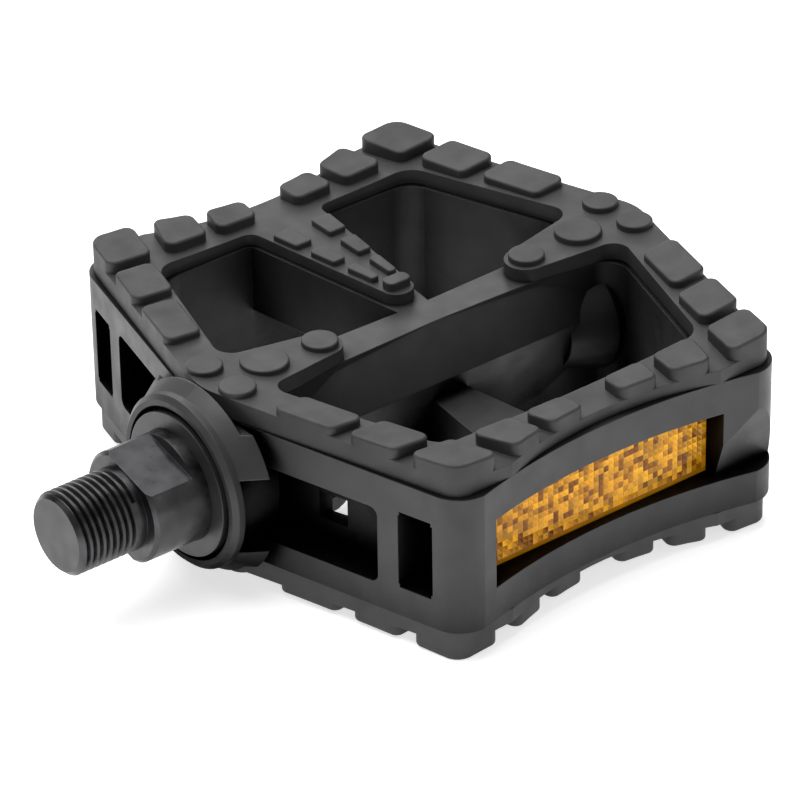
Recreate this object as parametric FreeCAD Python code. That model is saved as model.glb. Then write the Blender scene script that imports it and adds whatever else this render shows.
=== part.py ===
import FreeCAD, Part
import math
import os

# Flat bicycle pedal: moulded core with two bonded tread layers and two slide-in
# reflectors, turning on a 9/16 x 20 spindle that runs in two rows of loose balls.
# The row's origin is the centre of the spindle's crank shoulder, +X runs outboard
# along the spindle and +Z is up. Shapes are built about the platform's centre and
# moved by shoulder_to_centre when they are written.
V = FreeCAD.Vector
X_AXIS = V(1, 0, 0)
ORIGIN = V(0, 0, 0)

# ---- driving dimensions, millimetres ----
shoulder_to_centre = 63.0

# platform outline: a hexagon in plan with its points on the spindle line
core_apex_x = 46.9
core_corner_x = 33.85
core_front_y = 50.1
core_waist_y = 46.2
core_half_height = 12.4
core_corner_r = 6.0
core_apex_r = 10.0
tread_apex_x = 46.7
tread_corner_x = 33.2
tread_front_y = 48.55
tread_waist_y = 44.8
tread_corner_r = 3.5
core_arc_half = 29.0
tread_arc_half = 22.0

# central window of the frame, at the tread and at the core
window_corner_x = 27.2
window_corner_y = 37.6
window_apex_x = 39.7
core_ledge = 0.8
window_corner_r = 4.5

# prongs that carry the round studs in from the side rims
prong_tip_x = 22.05
prong_tip_r = 3.8
prong_root_x = 34.0
prong_root_half = 5.7
prong_fillet = 3.0
spine_half = 3.0

# V bridge, on the rear half of the top and the front half of the underside
bridge_tip_y = 7.4
bridge_tip_half = 2.9
bridge_root_half = 7.2
bridge_fillet = 2.2
core_bridge_extra = 0.9
web_depth = 12.4

# tread surface: plate dished along X, pads dished along X and Y
plate_centre_z = 14.4
plate_rise = 1.1
plate_rise_at = 36.0
pad_centre_z = 14.95
pad_radius_x = 400.0
pad_radius_y = 600.0
pad_corner_r = 1.6
pad_edge_r = 0.45
pad_top_reach = 22.0
side_pads = [(39.3, 51.0, 8.9), (27.7, 37.0, 8.0), (13.6, 25.3, 7.1)]
row_pads = [(13.4, 20.8, 14.9, 23.5), (3.5, 10.8, 4.3, 12.5)]
row_pad_inner_y = 39.5
stud_height = 1.05
studs = [(42.3, 4.42, 3.09), (42.3, -4.42, 3.09), (33.45, 0.0, 4.08), (22.05, 0.0, 3.09)]
block_rows = [(30.4, 5.8, 3.8, 3.9), (21.9, 5.7, 2.9, 3.1), (13.5, 6.0, 2.05, 2.1)]
block_height = 1.1
tip_block_half = 2.4
tip_block_depth = 2.9
tip_block_z = 16.0

# axle barrel of the core
barrel_edge_y = 7.2
barrel_edge_z = 3.4
barrel_reach = 46.0
boss_r = 15.1
boss_face_x = -51.5
boss_rim_depth = 2.0
boss_flare_r = 17.6
boss_flare_x = -45.5
boss_throat_r = 12.4
boss_throat_x = -40.5
boss_neck_x = -36.0
boss_neck_r = 8.7
boss_recess_r = 13.3
boss_recess_depth = 3.2
outer_housing_r = 11.5
outer_housing_neck_r = 10.3
outer_housing_neck_x = 34.0
outer_housing_face_x = 46.6
outer_flare_x = 26.0

# blind pocket, small hole and slot in the inboard wall
wall_pocket_z = (-7.8, 6.1)
wall_pocket_y = (5.0, 34.3)
wall_pocket_depth = 6.4
wall_hole_y = (16.8, 22.3)
wall_hole_z = (-4.6, 0.4)
slot_half_z = 6.4
slot_y = (38.2, 44.7)
window_fillet = 1.5

# reflectors and their pockets
reflector_face_y = 44.4
reflector_depth = 5.8
reflector_half_x = 24.4
reflector_half_z = 6.9
reflector_clearance = 0.15
reflector_edge = 0.6
lens_thickness = 1.8
lens_rim = 1.1
front_window_x = (-26.0, 22.8)
front_window_half_z = 6.35
scoop_top_z = 5.5
scoop_depth = 3.4

# spindle
thread_major_r = 7.14
thread_pitch = 25.4 / 20
thread_depth = 0.7
thread_length = 12.8
thread_shank = 1.5
thread_tip_chamfer = 0.9
collar_r = 9.56
flat_across = 15.0
flat_length = 8.75
flat_turn = 16.0
shaft_r = 4.5
shaft_clearance = 0.5
axle_thread_r = 4.0
axle_thread_x = 33.0
axle_end_x = 44.8
keyway_width = 1.7
keyway_depth = 0.8

# bearings: x of the ball centres, pitch radius, ball radius and count
race_gap = 0.1
inner_row_x = -44.4
inner_pitch_r = 8.0
inner_ball_r = 3.969 / 2
inner_ball_count = 11
inner_cup_r = 11.0
outer_row_x = 37.4
outer_pitch_r = 6.6
outer_ball_r = 3.175 / 2
outer_ball_count = 11
outer_cup_r = 9.3
cup_lip = 1.0
cup_front = 2.6

# dust washer, lock washer, nut and cap
dust_washer_r = 12.45
dust_washer_thickness = 1.4
dust_washer_x = -52.0
lock_washer_r = 6.8
lock_washer_thickness = 0.9
locknut_across = 13.0
locknut_thickness = 3.0
cone_length_out = 3.0
cap_thickness = 1.4
cap_skirt = 2.4
cap_wall = 1.0
cap_bore_r = 9.7

# ---- values worked out from the driving dimensions ----
inner_groove_r = inner_ball_r + race_gap
outer_groove_r = outer_ball_r + race_gap
bore_r = shaft_r + shaft_clearance
cone_face_x = outer_row_x + cone_length_out
nut_face_x = cone_face_x + lock_washer_thickness
cap_inner_x = outer_housing_face_x - cap_thickness


# ---- helpers ----
def prism(points, z0, z1):
    """Upright prism over a closed outline of (x, y) points."""
    wire = Part.makePolygon([V(x, y, z0) for x, y in points + points[:1]])
    return Part.Face(wire).extrude(V(0, 0, z1 - z0))


def box(x0, x1, y0, y1, z0, z1):
    return Part.makeBox(x1 - x0, y1 - y0, z1 - z0, V(x0, y0, z0))


def tube(r, x0, x1, hole=0.0):
    shape = Part.makeCylinder(r, x1 - x0, V(x0, 0, 0), X_AXIS)
    if hole:
        shape = shape.cut(Part.makeCylinder(hole, x1 - x0, V(x0, 0, 0), X_AXIS))
    return shape


def cone(r0, x0, r1, x1):
    return Part.makeCone(r0, r1, x1 - x0, V(x0, 0, 0), X_AXIS)


def revolve(items):
    """Solid of revolution about X from (x, r) points; four numbers are an arc's mid and end."""
    edges = []
    here = items[0]
    for item in items[1:] + items[:1]:
        if len(item) == 4:
            mid, end = item[:2], item[2:]
            arc = Part.Arc(V(here[0], 0, here[1]), V(mid[0], 0, mid[1]), V(end[0], 0, end[1]))
            edges.append(arc.toShape())
            here = end
        else:
            if math.dist(here, item) > 1e-6:
                edges.append(Part.makeLine(V(here[0], 0, here[1]), V(item[0], 0, item[1])))
            here = item
    return Part.Face(Part.Wire(edges)).revolve(ORIGIN, X_AXIS, 360)


def underside(shape):
    """The same shape turned half a turn about the spindle."""
    turned = shape.copy()
    turned.rotate(ORIGIN, X_AXIS, 180)
    return turned


def round_upright(shape, spots, reach=0.6):
    """Fillet the upright edges that stand at the given (x, y, radius) places."""
    groups = {}
    for x, y, r in spots:
        for edge in shape.Edges:
            ends = [v.Point for v in edge.Vertexes]
            if len(ends) != 2 or abs(ends[0].z - ends[1].z) < 1.0:
                continue
            if all(math.hypot(p.x - x, p.y - y) < reach for p in ends):
                groups.setdefault(r, []).append(edge)
    for r in sorted(groups, reverse=True):
        picked = []
        for old in groups[r]:
            place = old.CenterOfMass
            picked += [e for e in shape.Edges if e.CenterOfMass.isEqual(place, 1e-4)]
        shape = shape.makeFillet(r, picked)
    return shape


def mirrored(x, y, r):
    return [(sx * x, sy * y, r) for sx in (-1, 1) for sy in (-1, 1)]


def hexagon_outline(apex_x, corner_x, front_y, waist_y, arc_half, z0, z1, corner_r, apex_r):
    """Hexagonal platform block whose front and rear edges curve in to a waist."""
    front = []
    for s in (-1, 1):
        a, b = V(s * corner_x, s * front_y, z0), V(s * arc_half, s * front_y, z0)
        c = V(-s * arc_half, s * front_y, z0)
        d = V(-s * corner_x, s * front_y, z0)
        front.append(Part.makeLine(a, b))
        front.append(Part.Arc(b, V(0, s * waist_y, z0), c).toShape())
        front.append(Part.makeLine(c, d))
        front.append(Part.makeLine(d, V(-s * apex_x, 0, z0)))
        front.append(Part.makeLine(V(-s * apex_x, 0, z0), V(-s * corner_x, -s * front_y, z0)))
    block = Part.Face(Part.Wire(front)).extrude(V(0, 0, z1 - z0))
    spots = mirrored(corner_x, front_y, corner_r)
    spots += [(-apex_x, 0, apex_r), (apex_x, 0, apex_r)]
    return round_upright(block, spots)


def tread_block(z0, z1):
    """Outline of a tread layer before anything is cut from it."""
    return hexagon_outline(tread_apex_x, tread_corner_x, tread_front_y, tread_waist_y, tread_arc_half,
                           z0, z1, tread_corner_r, core_apex_r)


def core_block():
    """Outline of the core before anything is cut from it."""
    return hexagon_outline(core_apex_x, core_corner_x, core_front_y, core_waist_y, core_arc_half,
                           -core_half_height, core_half_height, core_corner_r, core_apex_r)


def window_points(inset):
    """Hexagonal middle window, brought in by inset all round."""
    x, y, apex = window_corner_x - inset, window_corner_y - inset, window_apex_x - inset
    return [(-x, -y), (x, -y), (apex, 0), (x, y), (-x, y), (-apex, 0)]


def bridge_half(y, extra):
    """Half width of the V bridge at a distance y from the spindle."""
    share = (y - bridge_tip_y) / (window_corner_y - bridge_tip_y)
    return bridge_tip_half + share * (bridge_root_half - bridge_tip_half) + extra


def bridge_points(extra, y0, y1):
    a, b = bridge_half(y0, extra), bridge_half(y1, extra)
    return [(-a, y0), (a, y0), (b, y1), (-b, y1)]


def prong_points(side, tip_half, tip_x, extra):
    """Tapered prong from the side rim in to tip_x."""
    slope = (prong_root_half - prong_tip_r) / (prong_root_x - prong_tip_x)
    root_x = window_apex_x + 3.0
    root = prong_root_half + slope * (root_x - prong_root_x) + extra
    return [(side * tip_x, -tip_half), (side * root_x, -root), (side * root_x, root), (side * tip_x, tip_half)]


def prong_root(inset, extra):
    """Where a prong's flank meets the middle window's side."""
    slope = (prong_root_half - prong_tip_r) / (prong_root_x - prong_tip_x)
    apex, cx, cy = window_apex_x - inset, window_corner_x - inset, window_corner_y - inset
    lean = (apex - cx) / cy
    y = (prong_root_half + extra + slope * (apex - prong_root_x)) / (1 + slope * lean)
    return apex - lean * y, y


def pad_surface():
    """Block whose top is the pads' dished surface."""
    half = 60.0
    sag = half * half / (2 * pad_radius_x)
    rise = V(0, 0, pad_centre_z)
    left, right = V(-half, 0, pad_centre_z + sag), V(half, 0, pad_centre_z + sag)
    low_l, low_r = V(-half, 0, -pad_top_reach), V(half, 0, -pad_top_reach)
    face = Part.Face(Part.Wire([
        Part.Arc(left, rise, right).toShape(),
        Part.makeLine(right, low_r),
        Part.makeLine(low_r, low_l),
        Part.makeLine(low_l, left),
    ]))
    hinge = V(0, 0, pad_centre_z + pad_radius_y)
    swing = math.degrees(math.atan2(60.0, pad_radius_y))
    face.rotate(hinge, X_AXIS, -swing)
    return face.revolve(hinge, X_AXIS, 2 * swing)


def plate_top(x):
    return plate_centre_z + plate_rise * (x / plate_rise_at) ** 2


def race_arc(centre_x, pitch_r, groove_r, start_deg, end_deg):
    """Arc round a ball centre, as its mid and end points."""
    out = []
    for deg in ((start_deg + end_deg) / 2, end_deg):
        out += [centre_x + groove_r * math.cos(math.radians(deg)),
                pitch_r + groove_r * math.sin(math.radians(deg))]
    return tuple(out)


def ball_row(x, pitch_r, ball_r, count):
    balls = []
    for i in range(count):
        turn = 2 * math.pi * i / count
        balls.append(Part.makeSphere(ball_r, V(x, pitch_r * math.cos(turn), pitch_r * math.sin(turn))))
    return Part.makeCompound(balls)


def save(name, shape):
    placed = shape.copy()
    placed.translate(V(shoulder_to_centre, 0, 0))
    placed.exportStep("parts/" + name + ".step")


def turns_corner(shape, edge):
    """True where the two faces at an edge turn by more than 30 degrees."""
    spot = edge.valueAt((edge.FirstParameter + edge.LastParameter) / 2)
    normals = [f.normalAt(*f.Surface.parameter(spot)) for f in shape.ancestorsOfType(edge, Part.Face)]
    return len(normals) == 2 and math.degrees(normals[0].getAngle(normals[1])) > 30.0


# ---- tread layers ----
def pad_prisms():
    """Upright blocks for all the square pads of one face, before their tops are cut."""
    z0, z1 = core_half_height + 0.5, pad_top_reach
    lean = (tread_apex_x - tread_corner_x) / tread_front_y
    found = []
    for sy in (-1, 1):
        for sx in (-1, 1):
            for near, far, width in side_pads:
                outer = [tread_apex_x + 1.0 - lean * y for y in (near, far)]
                inner = [tread_apex_x - width - lean * y for y in (near, far)]
                found.append(([(inner[0], near), (outer[0], near), (outer[1], far), (inner[1], far)], sx, sy))
            for far0, far1, near0, near1 in row_pads:
                far_y = tread_front_y + 2.0
                grow = (far_y - row_pad_inner_y) / (tread_front_y - 1.5 - row_pad_inner_y)
                wide0 = near0 + grow * (far0 - near0)
                wide1 = near1 + grow * (far1 - near1)
                y0 = row_pad_inner_y
                found.append(([(near0, y0), (near1, y0), (wide1, far_y), (wide0, far_y)], sx, sy))
    outline = tread_block(z0, z1)
    top = pad_surface()
    pads = []
    for points, sx, sy in found:
        pad = prism([(sx * x, sy * y) for x, y in points], z0, z1).common(outline)
        uprights = [e for e in pad.Edges
                    if len(e.Vertexes) == 2
                    and abs(e.Vertexes[0].Z - e.Vertexes[1].Z) > 1.0
                    and e.Length > z1 - z0 - 0.1
                    and e.Curve.TypeId == "Part::GeomLine"
                    and turns_corner(pad, e)]
        pad = pad.makeFillet(pad_corner_r, uprights).common(top)
        rim = [e for e in pad.Edges if e.BoundBox.ZMin > z0 + 0.6]
        pads.append(pad.makeFillet(pad_edge_r, rim))
    return pads


def tread_layer():
    z0, z1 = core_half_height, pad_top_reach
    ring = tread_block(z0, z1)
    ring = ring.cut(prism(window_points(0.0), z0, z1))
    for side in (-1, 1):
        prong = prism(prong_points(side, prong_tip_r, prong_tip_x, 0.0), z0, z1)
        ring = ring.fuse(prong.common(tread_block(z0, z1)))
        ring = ring.fuse(Part.makeCylinder(prong_tip_r, z1 - z0, V(side * prong_tip_x, 0, z0)))
    ring = ring.fuse(prism(bridge_points(0.0, bridge_tip_y, window_corner_y + 1.0), z0, z1))
    ring = ring.fuse(Part.makeCylinder(bridge_tip_half, z1 - z0, V(0, bridge_tip_y, z0)))
    ring = ring.removeSplitter()
    px, py = prong_root(0.0, 0.0)
    spots = mirrored(window_corner_x, window_corner_y, window_corner_r)
    spots += mirrored(px, py, prong_fillet)
    spots += [(s * bridge_root_half, window_corner_y, bridge_fillet) for s in (-1, 1)]
    ring = round_upright(ring, spots)
    radius = plate_rise_at ** 2 / (2 * plate_rise)
    dish = Part.makeCylinder(radius, 200, V(0, -100, plate_centre_z + radius), V(0, 1, 0))
    layer = ring.cut(dish)
    extras = pad_prisms()
    for x, y, r in studs:
        for side in (-1, 1):
            top = plate_top(x) + stud_height
            stud = Part.makeCylinder(r, top - z0 - 1.0, V(side * x, y, z0 + 1.0))
            rim = [e for e in stud.Edges if abs(e.BoundBox.ZMin - top) < 0.01 and abs(e.BoundBox.ZMax - top) < 0.01]
            extras.append(stud.makeFillet(pad_edge_r * 0.7, rim))
    for mid_y, length, off_x, width in block_rows:
        for side in (-1, 1):
            top = plate_centre_z + block_height
            block = prism(block_plan(side, mid_y, length, off_x, width), z0 + 1.0, top)
            extras.append(soften_block(block, top))
    tip = box(-tip_block_half, tip_block_half, bridge_tip_y - tip_block_depth / 2,
              bridge_tip_y + tip_block_depth / 2, z0 + 1.0, tip_block_z)
    extras.append(soften_block(tip, tip_block_z, 1.2))
    for extra in extras:
        layer = layer.fuse(extra)
    return layer.removeSplitter()


def block_plan(side, mid_y, length, off_x, width):
    """Plan of one small block; its outer edge follows the bridge's flank."""
    lean = (bridge_root_half - bridge_tip_half) / (window_corner_y - bridge_tip_y)
    near, far = mid_y - length / 2, mid_y + length / 2
    out0 = off_x + width / 2 - lean * length / 2
    out1 = off_x + width / 2 + lean * length / 2
    in0, in1 = off_x - width / 2, off_x - width / 2 + lean * length / 3
    return [(side * in0, near), (side * out0, near), (side * out1, far), (side * in1, far)]


def soften_block(block, top, corner=0.6):
    uprights = [e for e in block.Edges if e.BoundBox.ZMax - e.BoundBox.ZMin > 1.0]
    block = block.makeFillet(corner, uprights)
    rim = [e for e in block.Edges if e.BoundBox.ZMin > top - 0.01]
    return block.makeFillet(0.3, rim)


# ---- core ----
def core_frame():
    h = core_half_height
    frame = core_block()
    frame = frame.cut(prism(window_points(core_ledge), -h, h))
    spine = prism([(-prong_tip_x, -spine_half - 0.6), (0, -spine_half), (prong_tip_x, -spine_half - 0.6),
                   (prong_tip_x, spine_half + 0.6), (0, spine_half), (-prong_tip_x, spine_half + 0.6)], -h, h)
    frame = frame.fuse(spine)
    for side in (-1, 1):
        prong = prism(prong_points(side, spine_half + 0.6, prong_tip_x, 0.3), -h, h)
        frame = frame.fuse(prong.common(core_block()))
    frame = frame.removeSplitter()
    px, py = prong_root(core_ledge, 0.3)
    inset = core_ledge
    spots = mirrored(window_corner_x - inset, window_corner_y - inset, window_corner_r)
    spots += mirrored(px, py, prong_fillet + 1.0)
    frame = round_upright(frame, spots)
    web = prism(bridge_points(core_bridge_extra, spine_half - 0.5, window_corner_y + 1.0), h - web_depth, h)
    frame = frame.fuse(web).fuse(underside(web))
    return frame.removeSplitter()


def barrel_section():
    """Slab sides above the parting edge in front and below it behind."""
    y, z, s, h = barrel_edge_y, barrel_edge_z, spine_half, core_half_height
    points = [(-s, h), (-y, z), (-s, -h), (s, -h), (y, -z), (s, h)]
    wire = Part.makePolygon([V(-barrel_reach, p, q) for p, q in points + points[:1]])
    return Part.Face(wire).extrude(V(2 * barrel_reach, 0, 0))


def cut_front(core):
    """Pocket, window and scoop for the reflector at the front."""
    gap = reflector_clearance
    y_back = -(reflector_face_y - reflector_depth) + gap
    hz = reflector_half_z + gap
    pocket = box(-core_apex_x, reflector_half_x + gap, -reflector_face_y, y_back, -hz, hz)
    window = box(front_window_x[0], front_window_x[1], -core_front_y - 1.0, -reflector_face_y + 0.5,
                 -front_window_half_z, front_window_half_z)
    y_wall = -core_front_y - 0.01
    scoop = Part.Face(Part.makePolygon([
        V(front_window_x[1] - 0.01, y_wall - 1.0, scoop_top_z),
        V(front_window_x[1] - 0.01, y_wall, scoop_top_z),
        V(front_window_x[1] - 0.01, y_wall + scoop_depth, -front_window_half_z),
        V(front_window_x[1] - 0.01, y_wall - 1.0, -front_window_half_z),
        V(front_window_x[1] - 0.01, y_wall - 1.0, scoop_top_z),
    ])).extrude(V(core_apex_x, 0, 0))
    return core.cut(pocket).cut(window).cut(scoop)


def wall_pocket():
    """Cutter for the rounded blind pocket in the inboard wall on the front half."""
    lean = (core_apex_x - core_corner_x) / core_front_y
    deep = wall_pocket_depth * math.hypot(1.0, lean)
    reach = 12.0
    near, far = wall_pocket_y
    near_x, far_x = lean * near - core_apex_x, lean * far - core_apex_x
    cutter = prism([(near_x - reach, -near), (near_x + deep, -near), (far_x + deep, -far), (far_x - reach, -far)],
                   wall_pocket_z[0], wall_pocket_z[1])
    cutter = cutter.makeFillet(window_fillet, [e for e in cutter.Edges if abs(e.Length - reach - deep) < 0.01])
    return cutter.cut(box(-80, boss_face_x + boss_rim_depth, -60, 60, -30, 30))


def body_core():
    core = core_frame()
    core = cut_front(core)
    core = underside(cut_front(underside(core)))
    rim_x = boss_face_x + boss_rim_depth
    core = core.fuse(revolve([
        (boss_face_x, 0.0), (boss_face_x, boss_r - 0.8), (boss_face_x + 0.8, boss_r), (rim_x, boss_r),
        (boss_flare_x, boss_flare_r), (boss_flare_x, 0.0),
    ]))
    for cutter in (wall_pocket(),
                   box(-60, -24, -wall_hole_y[1], -wall_hole_y[0], wall_hole_z[0], wall_hole_z[1]),
                   box(-60, -30, -slot_y[1], -slot_y[0], -slot_half_z, slot_half_z)):
        for piece in (cutter, underside(cutter)):
            core = core.cut(piece)
    core = core.fuse(barrel_section())
    neck = revolve([
        (rim_x, 0.0), (rim_x, boss_throat_r), (boss_throat_x, boss_throat_r), (boss_neck_x, boss_neck_r),
        (boss_neck_x, 0.0),
    ])
    core = core.fuse(neck)
    flare = revolve([
        (outer_flare_x, 0.0), (outer_flare_x, barrel_edge_y), (outer_housing_neck_x, outer_housing_neck_r),
        (outer_housing_neck_x + 6.0, outer_housing_neck_r), (outer_housing_neck_x + 8.0, outer_housing_r),
        (outer_housing_face_x - 0.6, outer_housing_r), (outer_housing_face_x, outer_housing_r - 0.6),
        (outer_housing_face_x, 0.0),
    ])
    core = core.fuse(flare)
    slab = box(-tread_apex_x - 0.3, 60, -60, 60, core_half_height, 40)
    core = core.cut(slab).cut(underside(slab))
    inner_lip_x = inner_row_x + inner_groove_r + cup_lip
    outer_lip_x = outer_row_x - outer_groove_r - cup_lip
    for cutter in (
        tube(boss_recess_r, boss_face_x - 1, boss_face_x + boss_recess_depth),
        tube(inner_cup_r, boss_face_x, inner_lip_x),
        tube(inner_pitch_r - 0.2, inner_lip_x - 0.5, inner_lip_x + 2.0),
        cone(inner_pitch_r - 0.2, inner_lip_x + 2.0, bore_r, inner_lip_x + 5.0),
        tube(bore_r, -core_apex_x, core_apex_x),
        tube(outer_cup_r, outer_lip_x, outer_housing_face_x),
        tube(cap_bore_r, outer_row_x + cup_front, outer_housing_face_x + 1),
    ):
        core = core.cut(cutter)
    return core.removeSplitter()


# ---- reflectors ----
def reflector_lens():
    """Prismatic lens: a plate with a thinner step round its face."""
    y0 = -reflector_face_y + reflector_clearance
    hx, hz = reflector_half_x, reflector_half_z
    plate = box(-hx, hx, y0, y0 + lens_thickness, -hz, hz)
    plate = plate.makeChamfer(reflector_edge * 0.5, [e for e in plate.Edges
                                                    if abs(e.CenterOfMass.y - y0) < 0.01])
    return plate


def reflector_back():
    """Backing box welded behind the lens."""
    y0 = -reflector_face_y + reflector_clearance + lens_thickness
    y1 = -reflector_face_y + reflector_depth
    hx, hz = reflector_half_x, reflector_half_z
    shell = box(-hx, hx, y0, y1, -hz, hz)
    hollow = box(-hx + lens_rim, hx - lens_rim, y0 - 1.0, y1 - lens_rim, -hz + lens_rim, hz - lens_rim)
    return shell.cut(hollow)


# ---- spindle and bearings ----
def thread_cutter(length, major_r, pitch, depth):
    """Cutter for a V groove wound up the Z axis, starting one pitch below the origin."""
    helix = Part.makeHelix(pitch, length, major_r - depth)
    half = pitch * 0.44
    r_in, r_out = major_r - depth, major_r + 0.25
    flat = pitch * 0.06
    profile = Part.makePolygon([
        V(r_in, 0, -flat), V(r_out, 0, -half), V(r_out, 0, half), V(r_in, 0, flat), V(r_in, 0, -flat),
    ])
    cutter = Part.Wire(helix).makePipeShell([profile], True, True)
    cutter.translate(V(0, 0, -pitch))
    return cutter


def threaded(shape, x0, x1):
    """Cut the crank thread from x0 to x1, with the shape stood on its threaded end."""
    stood = shape.copy()
    stood.translate(V(-x0, 0, 0))
    stood.rotate(ORIGIN, V(0, 1, 0), -90)
    stood.rotate(ORIGIN, V(0, 0, 1), 90)
    groove_volume = 2 * math.pi * thread_major_r * (x1 - x0) / thread_pitch * thread_depth * thread_pitch * 0.3
    for extra in (0.0, 0.05, -0.05, 0.1, -0.1, 0.2, -0.2):
        length = x1 - x0 + thread_pitch + extra
        cut = stood.cut(thread_cutter(length, thread_major_r, thread_pitch, thread_depth))
        if cut.isValid() and len(cut.Solids) == 1 and stood.Volume - cut.Volume > groove_volume:
            stood = cut
            break
    else:
        raise ValueError("the crank thread could not be cut")
    stood.rotate(ORIGIN, V(0, 0, 1), -90)
    stood.rotate(ORIGIN, V(0, 1, 0), 90)
    stood.translate(V(x0, 0, 0))
    return stood


def spindle():
    tip = -shoulder_to_centre - thread_length
    shoulder = -shoulder_to_centre
    race = race_arc(inner_row_x, inner_pitch_r, inner_groove_r, 180, 270)
    low = inner_pitch_r - inner_groove_r
    shape = revolve([
        (tip, 0.0), (tip, thread_major_r - thread_tip_chamfer), (tip + thread_tip_chamfer, thread_major_r),
        (shoulder, thread_major_r),
        (shoulder, collar_r - 0.6), (shoulder + 0.6, collar_r),
        (inner_row_x - inner_groove_r - 0.8, collar_r),
        (inner_row_x - inner_groove_r, collar_r - 0.8), (inner_row_x - inner_groove_r, inner_pitch_r),
        race, (inner_row_x + 1.6, low), (inner_row_x + 4.6, shaft_r),
        (axle_thread_x, shaft_r), (axle_thread_x, axle_thread_r),
        (axle_end_x - 0.6, axle_thread_r), (axle_end_x, axle_thread_r - 0.6), (axle_end_x, 0.0),
    ])
    shape = threaded(shape, tip, shoulder - thread_shank)
    flats = box(shoulder - 1.0, shoulder + flat_length, -20, 20, flat_across / 2, 20)
    for turn in (flat_turn, flat_turn + 180):
        cutter = flats.copy()
        cutter.rotate(ORIGIN, X_AXIS, turn)
        shape = shape.cut(cutter)
    key = box(axle_thread_x - 1.0, axle_end_x + 1.0, -keyway_width / 2, keyway_width / 2,
              axle_thread_r - keyway_depth, axle_thread_r + 1.0)
    return shape.cut(key)


def inner_cup():
    out = inner_pitch_r + inner_groove_r
    lip_x = inner_row_x + inner_groove_r + cup_lip
    front_x = inner_row_x - cup_front
    return revolve([
        (front_x, out), (inner_row_x, out), race_arc(inner_row_x, inner_pitch_r, inner_groove_r, 90, 0),
        (inner_row_x + inner_groove_r, inner_pitch_r - 0.6), (lip_x, inner_pitch_r - 0.6),
        (lip_x, inner_cup_r), (front_x, inner_cup_r),
    ])


def outer_cup():
    out = outer_pitch_r + outer_groove_r
    lip_x = outer_row_x - outer_groove_r - cup_lip
    front_x = outer_row_x + cup_front
    return revolve([
        (front_x, out), (front_x, outer_cup_r), (lip_x, outer_cup_r), (lip_x, outer_pitch_r - 0.4),
        (outer_row_x - outer_groove_r, outer_pitch_r - 0.4), (outer_row_x - outer_groove_r, outer_pitch_r),
        race_arc(outer_row_x, outer_pitch_r, outer_groove_r, 180, 90),
    ])


def outer_cone():
    low = outer_pitch_r - outer_groove_r
    return revolve([
        (outer_row_x - 1.8, axle_thread_r), (outer_row_x - 1.8, low), (outer_row_x, low),
        race_arc(outer_row_x, outer_pitch_r, outer_groove_r, 270, 360),
        (outer_row_x + outer_groove_r, outer_pitch_r + 0.6), (cone_face_x, outer_pitch_r + 0.6),
        (cone_face_x, axle_thread_r),
    ])


def lock_washer():
    ring = tube(lock_washer_r, cone_face_x, nut_face_x, axle_thread_r)
    tab = box(cone_face_x, nut_face_x, -keyway_width / 2 + 0.1, keyway_width / 2 - 0.1,
              axle_thread_r - keyway_depth + 0.1, axle_thread_r + 0.5)
    return ring.fuse(tab).removeSplitter()


def locknut():
    corner_r = locknut_across / 2 / math.cos(math.radians(30))
    points = [V(nut_face_x, corner_r * math.cos(math.radians(60 * i)),
                corner_r * math.sin(math.radians(60 * i))) for i in range(7)]
    nut = Part.Face(Part.makePolygon(points)).extrude(V(locknut_thickness, 0, 0))
    end = nut_face_x + locknut_thickness
    trim = revolve([(nut_face_x, 0.0), (nut_face_x, corner_r), (end - 0.5, corner_r),
                    (end, corner_r - 0.9), (end, 0.0)])
    return nut.common(trim).cut(tube(axle_thread_r, nut_face_x - 1, end + 1))


def dust_cap():
    face = outer_housing_face_x
    dome = revolve([
        (cap_inner_x - cap_skirt, cap_bore_r - cap_wall), (cap_inner_x, cap_bore_r - cap_wall),
        (cap_inner_x, 0.0), (face, 0.0), (face, cap_bore_r - 0.5), (face - 0.5, cap_bore_r),
        (cap_inner_x - cap_skirt, cap_bore_r),
    ])
    return dome


os.makedirs("parts", exist_ok=True)
tread = tread_layer()
save("tread_top", tread)
save("tread_bottom", underside(tread))
save("body_core", body_core())
for name, shape in (("reflector_lens", reflector_lens()), ("reflector_back", reflector_back())):
    save(name + "_front", shape)
    save(name + "_rear", underside(shape))
save("spindle", spindle())
save("dust_washer", tube(dust_washer_r, dust_washer_x, dust_washer_x + dust_washer_thickness, collar_r))
save("inner_bearing_cup", inner_cup())
save("inner_balls", ball_row(inner_row_x, inner_pitch_r, inner_ball_r, inner_ball_count))
save("outer_bearing_cup", outer_cup())
save("outer_balls", ball_row(outer_row_x, outer_pitch_r, outer_ball_r, outer_ball_count))
save("outer_cone", outer_cone())
save("lock_washer", lock_washer())
save("locknut", locknut())
save("dust_cap", dust_cap())
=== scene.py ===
import math
import random

import bmesh
import bpy
from mathutils import Matrix, Vector


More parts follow.
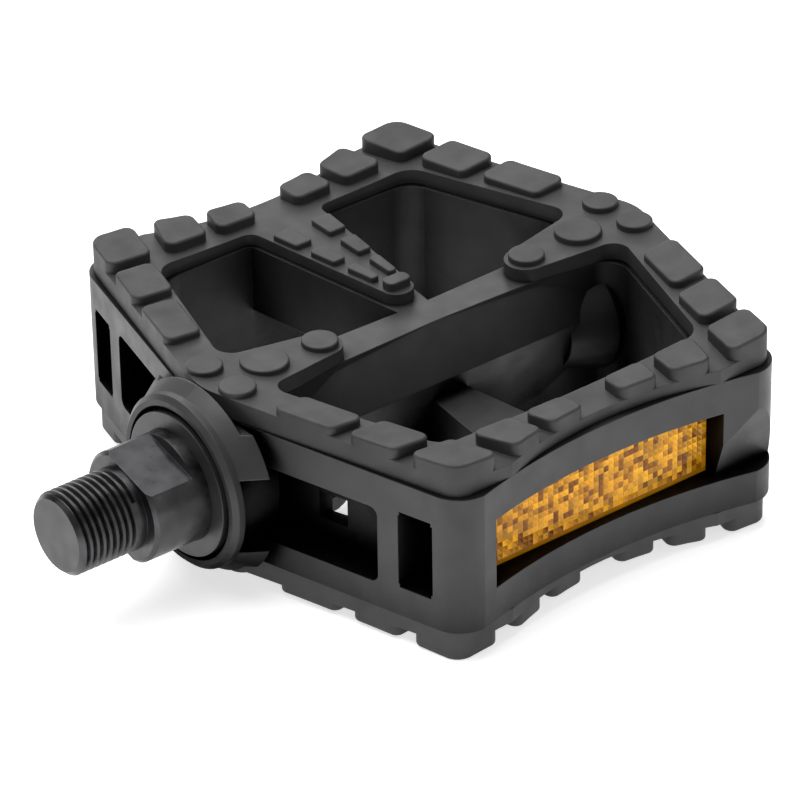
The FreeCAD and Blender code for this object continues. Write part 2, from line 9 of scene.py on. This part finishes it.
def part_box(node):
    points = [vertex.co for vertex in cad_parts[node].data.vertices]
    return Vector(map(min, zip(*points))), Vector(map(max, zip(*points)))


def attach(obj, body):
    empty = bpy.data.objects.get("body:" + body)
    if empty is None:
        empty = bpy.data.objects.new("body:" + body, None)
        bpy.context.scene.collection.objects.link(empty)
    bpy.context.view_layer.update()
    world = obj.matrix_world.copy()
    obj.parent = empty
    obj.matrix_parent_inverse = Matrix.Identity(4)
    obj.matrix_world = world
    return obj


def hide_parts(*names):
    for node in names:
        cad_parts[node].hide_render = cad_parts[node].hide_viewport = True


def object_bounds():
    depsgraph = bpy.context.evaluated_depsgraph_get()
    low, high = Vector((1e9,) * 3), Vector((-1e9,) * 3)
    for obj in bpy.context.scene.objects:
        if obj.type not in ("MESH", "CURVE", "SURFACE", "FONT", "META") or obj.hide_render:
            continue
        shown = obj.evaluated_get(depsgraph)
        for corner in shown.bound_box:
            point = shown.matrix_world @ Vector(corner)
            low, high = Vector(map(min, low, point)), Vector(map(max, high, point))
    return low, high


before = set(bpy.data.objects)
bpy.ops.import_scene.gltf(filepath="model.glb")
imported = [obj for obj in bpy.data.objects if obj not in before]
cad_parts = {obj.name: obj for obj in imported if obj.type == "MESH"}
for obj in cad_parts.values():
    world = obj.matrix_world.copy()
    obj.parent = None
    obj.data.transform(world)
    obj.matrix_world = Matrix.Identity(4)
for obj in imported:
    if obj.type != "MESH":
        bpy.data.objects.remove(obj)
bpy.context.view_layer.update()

# ---- named values, in metres and degrees ----
MM = 0.001

CAMERA_AZIMUTH = -38.58
CAMERA_ELEVATION = 30.90
CAMERA_ROLL = -0.96
CAMERA_DISTANCE = 827.6 * MM
CAMERA_LENS = 223.2
CAMERA_AIM_FROM_CENTRE = Vector((-4.6, 1.2, -3.1)) * MM

LENS_BORDER = 1.0 * MM
LENS_BORDER_PROUD = 0.35 * MM
PRISM_PITCH = 1.05 * MM
PRISM_DEPTH = 0.42 * MM
PRISM_TIP_RISE = 0.15
PRISM_SEED = 11
# painted glints on the prisms: the share painted dark, their shade, and the least shade of the bright ones
PAINTED_DARK_GLINT_SHARE = 0.22
PAINTED_DARK_GLINT = 0.05
PAINTED_BRIGHT_GLINT = 0.55
FAR_PANEL_DEPTH = 0.75
LENS_BACKING = 0.15 * MM
BACKING_SHADE = 0.3
BORDER_SHADE = 0.55
PANEL_SPLIT = 0.47
# the lens glows with painted light, though it is no lamp
LENS_PAINTED_GLOW = 0.16

EDGE_RADIUS = 0.28 * MM
STEEL_EDGE_RADIUS = 0.12 * MM
FLOOR_SIZE = 6.0
FLOOR_GLOW = 0.66
WORLD_STRENGTH = 0.22
# each light's name, place from the platform's centre, size and power in watts
LIGHTS = (
    ("overhead_softbox", (-0.10, 0.25, 0.95), (1.1, 0.9), 12.5),
    ("rear_softbox", (0.35, 0.85, 0.45), (0.8, 0.5), 3.2),
    ("front_fill", (0.55, -0.85, 0.35), (0.7, 0.5), 1.0),
)
# painted shade: colour and shine darken in hollows, between these two shares of open sky within reach; every
# surface within reach counts, the floor too
PAINTED_SHADE_REACH = 22 * MM
PAINTED_SHADE_DARK = 0.52
PAINTED_SHADE_CLEAR = 0.86


# ---- material helpers ----
def new_material(name):
    material = bpy.data.materials.new(name)
    material.use_nodes = True
    tree = material.node_tree
    tree.nodes.clear()
    out = tree.nodes.new("ShaderNodeOutputMaterial")
    shader = tree.nodes.new("ShaderNodeBsdfPrincipled")
    tree.links.new(shader.outputs["BSDF"], out.inputs["Surface"])
    return material, tree, shader


def noise(tree, size, detail=3.0, stretch=(1, 1, 1)):
    """Noise whose grain is about size metres; stretch squeezes it along each axis."""
    place = tree.nodes.new("ShaderNodeTexCoord")
    scale = tree.nodes.new("ShaderNodeMapping")
    scale.inputs["Scale"].default_value = [s / size for s in stretch]
    grain = tree.nodes.new("ShaderNodeTexNoise")
    grain.inputs["Scale"].default_value = 1.0
    grain.inputs["Detail"].default_value = detail
    tree.links.new(place.outputs["Object"], scale.inputs["Vector"])
    tree.links.new(scale.outputs["Vector"], grain.inputs["Vector"])
    return grain.outputs["Fac"]


def ranged(tree, value, low, high, from_low=0.3, from_high=0.7):
    """Value spread from one range to another; noise mostly lies in the default range."""
    spread = tree.nodes.new("ShaderNodeMapRange")
    spread.inputs["From Min"].default_value = from_low
    spread.inputs["From Max"].default_value = from_high
    spread.inputs["To Min"].default_value = low
    spread.inputs["To Max"].default_value = high
    tree.links.new(value, spread.inputs["Value"])
    return spread.outputs["Result"]


def mixed(tree, share, first, second):
    """Colour between first and second; either may be a colour or a socket."""
    mix = tree.nodes.new("ShaderNodeMix")
    mix.data_type = "RGBA"
    tree.links.new(share, mix.inputs["Factor"])
    for socket, value in ((mix.inputs[6], first), (mix.inputs[7], second)):
        if isinstance(value, bpy.types.NodeSocket):
            tree.links.new(value, socket)
        else:
            socket.default_value = (*value, 1.0)
    return mix.outputs[2]


def rounded_normal(tree, radius):
    """Normal that shades hard edges as if they had this radius."""
    bevel = tree.nodes.new("ShaderNodeBevel")
    bevel.samples = 6
    bevel.inputs["Radius"].default_value = radius
    return bevel.outputs["Normal"]


def edge_mask(tree, normal):
    """1 on rounded edges and 0 on flats."""
    flat = tree.nodes.new("ShaderNodeNewGeometry")
    dot = tree.nodes.new("ShaderNodeVectorMath")
    dot.operation = "DOT_PRODUCT"
    tree.links.new(normal, dot.inputs[0])
    tree.links.new(flat.outputs["Normal"], dot.inputs[1])
    return ranged(tree, dot.outputs["Value"], 1.0, 0.0, 0.80, 0.99)


def bumped(tree, shader, height, distance, normal):
    bump = tree.nodes.new("ShaderNodeBump")
    bump.inputs["Strength"].default_value = 1.0
    bump.inputs["Distance"].default_value = distance
    tree.links.new(height, bump.inputs["Height"])
    tree.links.new(normal, bump.inputs["Normal"])
    tree.links.new(bump.outputs["Normal"], shader.inputs["Normal"])


def painted_shade_openness(tree, reach):
    """0 deep in a hollow, 1 in the open; sets how much painted shade a hollow gets."""
    sky = tree.nodes.new("ShaderNodeAmbientOcclusion")
    sky.samples = 6
    sky.inputs["Distance"].default_value = reach
    return ranged(tree, sky.outputs["AO"], 0.0, 1.0, PAINTED_SHADE_DARK, PAINTED_SHADE_CLEAR)


def moulded(name, dark, light, worn, roughness, grain, relief, edge=EDGE_RADIUS, specular=0.5, painted_shade_reach=0.0):
    """Moulded plastic or rubber: cloudy colour, fine spark texture, paler edges, and, when a reach is given,
    painted shade that darkens colour and shine in hollows.
    """
    material, tree, shader = new_material(name)
    normal = rounded_normal(tree, edge)
    cloud = ranged(tree, noise(tree, 9 * MM, 4.0), 0.0, 1.0)
    base = mixed(tree, cloud, dark, light)
    wear = tree.nodes.new("ShaderNodeMath")
    wear.operation = "MULTIPLY"
    tree.links.new(edge_mask(tree, normal), wear.inputs[0])
    tree.links.new(ranged(tree, noise(tree, 2 * MM, 3.0), 0.2, 0.9), wear.inputs[1])
    colour = mixed(tree, wear.outputs["Value"], base, worn)
    shader.inputs["Specular IOR Level"].default_value = specular
    if painted_shade_reach:
        # painted shade: colour goes towards near-black and shine drops where little open sky lies within
        # reach
        sky = painted_shade_openness(tree, painted_shade_reach)
        colour = mixed(tree, sky, (0.0006, 0.0006, 0.0006), colour)
        tree.links.new(ranged(tree, sky, 0.01, specular, 0.0, 1.0), shader.inputs["Specular IOR Level"])
    tree.links.new(colour, shader.inputs["Base Color"])
    shine = ranged(tree, noise(tree, 4 * MM, 3.0), roughness - 0.06, roughness + 0.08)
    tree.links.new(shine, shader.inputs["Roughness"])
    bumped(tree, shader, noise(tree, grain, 2.0), relief, normal)
    return material


def steel(name, dark, light, roughness, along=(1, 1, 1), relief=0.012 * MM):
    """Turned steel: fine marks squeezed along the turning, and a mottled finish."""
    material, tree, shader = new_material(name)
    normal = rounded_normal(tree, STEEL_EDGE_RADIUS)
    cloud = ranged(tree, noise(tree, 3 * MM, 5.0), 0.0, 1.0)
    tree.links.new(mixed(tree, cloud, dark, light), shader.inputs["Base Color"])
    shader.inputs["Metallic"].default_value = 1.0
    shine = ranged(tree, noise(tree, 1.5 * MM, 4.0), roughness - 0.08, roughness + 0.10)
    tree.links.new(shine, shader.inputs["Roughness"])
    bumped(tree, shader, noise(tree, 0.5 * MM, 3.0, along), relief, normal)
    return material


def amber_lens():
    """Clear amber plastic over prisms: each prism's painted glint, dark or bright, comes from the mesh, as
    do the plain tones of the border and backing; the lens also glows with painted light.
    """
    material, tree, shader = new_material("amber_lens")
    shade = tree.nodes.new("ShaderNodeAttribute")
    shade.attribute_name = "prism_glint_and_tone"
    cloud = ranged(tree, noise(tree, 5 * MM, 3.0), 0.0, 0.35)
    # painted glints: each prism's shade picks between dark and bright amber
    painted_glint_and_tone = mixed(tree, shade.outputs["Fac"], (0.13, 0.028, 0.001), (1.0, 0.52, 0.022))
    amber = mixed(tree, cloud, painted_glint_and_tone, (0.95, 0.40, 0.010))
    tree.links.new(amber, shader.inputs["Base Color"])
    # painted glow: the lens gives off its own amber, painted glints included, though it is no lamp
    tree.links.new(amber, shader.inputs["Emission Color"])
    shader.inputs["Emission Strength"].default_value = LENS_PAINTED_GLOW
    tree.links.new(ranged(tree, noise(tree, 1 * MM), 0.10, 0.22), shader.inputs["Roughness"])
    shader.inputs["Specular IOR Level"].default_value = 0.25
    shader.inputs["Coat Weight"].default_value = 0.25
    shader.inputs["Coat Roughness"].default_value = 0.05
    shader.inputs["Subsurface Weight"].default_value = 0.25
    shader.inputs["Subsurface Radius"].default_value = (1.2 * MM, 0.5 * MM, 0.1 * MM)
    return material


def paint(material, *nodes):
    for name in nodes:
        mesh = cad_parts[name].data
        mesh.materials.clear()
        mesh.materials.append(material)


# ---- reflector lens ----
def add_prism(mesh, centre, half_x, half_z, depth, shade, layer, outward):
    """One prism: a four-sided pyramid sunk into the face, its tip off centre."""
    x, y, z = centre
    corners = [mesh.verts.new((x + sx * half_x, y, z + sz * half_z))
               for sx, sz in ((-1, -1), (1, -1), (1, 1), (-1, 1))]
    tip = mesh.verts.new((x, y - outward * depth, z + half_z * PRISM_TIP_RISE))
    for i in range(4):
        face = mesh.faces.new((corners[i], corners[(i + 1) % 4], tip))
        for loop in face.loops:
            loop[layer] = (shade, shade, shade, 1.0)


def add_box(mesh, low, high, shade, layer):
    corners = [mesh.verts.new((x, y, z)) for x in (low[0], high[0])
               for y in (low[1], high[1]) for z in (low[2], high[2])]
    for quad in ((0, 1, 3, 2), (4, 6, 7, 5), (0, 4, 5, 1), (2, 3, 7, 6), (0, 2, 6, 4), (1, 5, 7, 3)):
        face = mesh.faces.new([corners[i] for i in quad])
        for loop in face.loops:
            loop[layer] = (shade, shade, shade, 1.0)


def reflector_lens(node, material):
    """Prismatic lens in its moulded border, filling the CAD lens's box."""
    low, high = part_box(node)
    outward = -1 if (low.y + high.y) < 0 else 1
    face_y = low.y if outward < 0 else high.y
    back_y = high.y if outward < 0 else low.y
    field_y = face_y - outward * LENS_BORDER_PROUD
    draw = random.Random(PRISM_SEED)
    mesh = bmesh.new()
    # this layer holds each prism's painted glint and the plain tones of the border and backing
    layer = mesh.loops.layers.color.new("prism_glint_and_tone")
    deep_y = field_y - outward * (PRISM_DEPTH + LENS_BACKING)
    add_box(mesh, (low.x, min(deep_y, back_y), low.z), (high.x, max(deep_y, back_y), high.z),
            BACKING_SHADE, layer)
    rim = LENS_BORDER
    for x0, x1, z0, z1 in ((low.x, high.x, low.z, low.z + rim), (low.x, high.x, high.z - rim, high.z),
                           (low.x, low.x + rim, low.z + rim, high.z - rim),
                           (high.x - rim, high.x, low.z + rim, high.z - rim)):
        add_box(mesh, (x0, min(face_y, deep_y), z0), (x1, max(face_y, deep_y), z1), BORDER_SHADE, layer)
    inner_x0, inner_x1 = low.x + rim, high.x - rim
    inner_z0, inner_z1 = low.z + rim, high.z - rim
    split = inner_x0 + PANEL_SPLIT * (inner_x1 - inner_x0)
    columns = int((inner_x1 - inner_x0) / PRISM_PITCH)
    rows = int((inner_z1 - inner_z0) / PRISM_PITCH)
    step_x, step_z = (inner_x1 - inner_x0) / columns, (inner_z1 - inner_z0) / rows
    for i in range(columns):
        for j in range(rows):
            x = inner_x0 + (i + 0.5) * step_x
            z = inner_z0 + (j + 0.5) * step_z
            # painted glint: a random share of prisms dark, the rest bright by chance, standing in for the
            # light each prism throws back
            dark_glint = draw.random() < PAINTED_DARK_GLINT_SHARE
            shade = PAINTED_DARK_GLINT if dark_glint else PAINTED_BRIGHT_GLINT + (1 - PAINTED_BRIGHT_GLINT) * draw.random()
            depth = PRISM_DEPTH * (FAR_PANEL_DEPTH if x > split else 1.0)
            add_prism(mesh, (x, field_y, z), step_x / 2, step_z / 2, depth, shade, layer, outward)
    bmesh.ops.recalc_face_normals(mesh, faces=mesh.faces)
    data = bpy.data.meshes.new(node + "_prisms")
    mesh.to_mesh(data)
    mesh.free()
    data.materials.append(material)
    piece = bpy.data.objects.new(node + "_prisms", data)
    bpy.context.scene.collection.objects.link(piece)
    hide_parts(node)
    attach(piece, "platform")


# ---- stage ----
def add_floor():
    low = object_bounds()[0]
    mesh = bpy.data.meshes.new("floor")
    half = FLOOR_SIZE / 2
    corners = [(x, y, low.z) for x, y in ((-half, -half), (half, -half), (half, half), (-half, half))]
    mesh.from_pydata(corners, [], [(0, 1, 2, 3)])
    material, tree, shader = new_material("studio_floor")
    paper = ranged(tree, noise(tree, 60 * MM), 0.0, 1.0)
    tree.links.new(mixed(tree, paper, (0.90, 0.90, 0.90), (0.93, 0.93, 0.93)), shader.inputs["Base Color"])
    shader.inputs["Roughness"].default_value = 0.9
    shader.inputs["Specular IOR Level"].default_value = 0.1
    shader.inputs["Emission Color"].default_value = (1.0, 1.0, 1.0, 1.0)
    shader.inputs["Emission Strength"].default_value = FLOOR_GLOW
    mesh.materials.append(material)
    floor = bpy.data.objects.new("floor", mesh)
    bpy.context.scene.collection.objects.link(floor)


def add_light(name, place, size, power, centre):
    data = bpy.data.lights.new(name, "AREA")
    data.shape = "RECTANGLE"
    data.size, data.size_y = size
    data.energy = power
    light = bpy.data.objects.new(name, data)
    light.location = centre + Vector(place)
    light.rotation_mode = "QUATERNION"
    light.rotation_quaternion = (-Vector(place)).to_track_quat("-Z", "Y")
    bpy.context.scene.collection.objects.link(light)


def add_lights(centre):
    for name, place, size, power in LIGHTS:
        add_light(name, place, size, power, centre)
    world = bpy.data.worlds.new("studio")
    world.use_nodes = True
    sky = world.node_tree.nodes["Background"]
    sky.inputs["Color"].default_value = (1.0, 1.0, 1.0, 1.0)
    sky.inputs["Strength"].default_value = WORLD_STRENGTH
    bpy.context.scene.world = world


def add_camera(centre):
    azimuth, elevation, roll = map(math.radians, (CAMERA_AZIMUTH, CAMERA_ELEVATION, CAMERA_ROLL))
    back = Vector((math.sin(azimuth) * math.cos(elevation), -math.cos(azimuth) * math.cos(elevation),
                   math.sin(elevation)))
    right = Vector((math.cos(azimuth), math.sin(azimuth), 0.0))
    up = back.cross(right)
    turned_right = right * math.cos(roll) + up * math.sin(roll)
    turned_up = up * math.cos(roll) - right * math.sin(roll)
    data = bpy.data.cameras.new("camera")
    data.lens = CAMERA_LENS
    data.sensor_width = 36.0
    camera = bpy.data.objects.new("camera", data)
    turn = Matrix((turned_right, turned_up, back)).transposed()
    camera.rotation_mode = "QUATERNION"
    camera.rotation_quaternion = turn.to_quaternion()
    camera.location = centre + CAMERA_AIM_FROM_CENTRE + back * CAMERA_DISTANCE
    bpy.context.scene.collection.objects.link(camera)
    bpy.context.scene.camera = camera


# ---- build the looks ----
# the core gets painted shade in its hollows
core = moulded("core_plastic", (0.020, 0.020, 0.0205), (0.030, 0.030, 0.0305), (0.060, 0.060, 0.061),
               0.46, 0.35 * MM, 0.010 * MM, specular=0.50, painted_shade_reach=PAINTED_SHADE_REACH)
tread = moulded("tread_rubber", (0.026, 0.026, 0.027), (0.040, 0.040, 0.041), (0.075, 0.075, 0.076),
                0.58, 0.22 * MM, 0.018 * MM, edge=0.22 * MM)
washer = moulded("washer_plastic", (0.012, 0.012, 0.012), (0.022, 0.022, 0.022), (0.05, 0.05, 0.05),
                 0.38, 0.3 * MM, 0.006 * MM)
backing = moulded("reflector_back", (0.55, 0.17, 0.02), (0.72, 0.26, 0.04), (0.80, 0.40, 0.10),
                  0.45, 0.4 * MM, 0.01 * MM)
dark_steel = steel("dark_steel", (0.050, 0.050, 0.052), (0.080, 0.080, 0.083), 0.34, along=(3, 1, 1))
bearing_steel = steel("bearing_steel", (0.55, 0.55, 0.57), (0.68, 0.68, 0.70), 0.16)
zinc_steel = steel("zinc_steel", (0.55, 0.56, 0.56), (0.70, 0.70, 0.69), 0.30)

paint(core, "body_core", "dust_cap")
paint(tread, "tread_top", "tread_bottom")
paint(washer, "dust_washer")
paint(backing, "reflector_back_front", "reflector_back_rear")
paint(dark_steel, "spindle")
paint(bearing_steel, "inner_bearing_cup", "inner_balls", "outer_bearing_cup", "outer_balls")
paint(zinc_steel, "outer_cone", "lock_washer", "locknut")

amber = amber_lens()
for lens_node in ("reflector_lens_front", "reflector_lens_rear"):
    reflector_lens(lens_node, amber)

tread_low, tread_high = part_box("tread_top")
platform_centre = Vector(((tread_low.x + tread_high.x) / 2, 0.0, 0.0))
add_floor()
add_lights(platform_centre)
add_camera(platform_centre)
bpy.context.scene.view_settings.view_transform = "Standard"
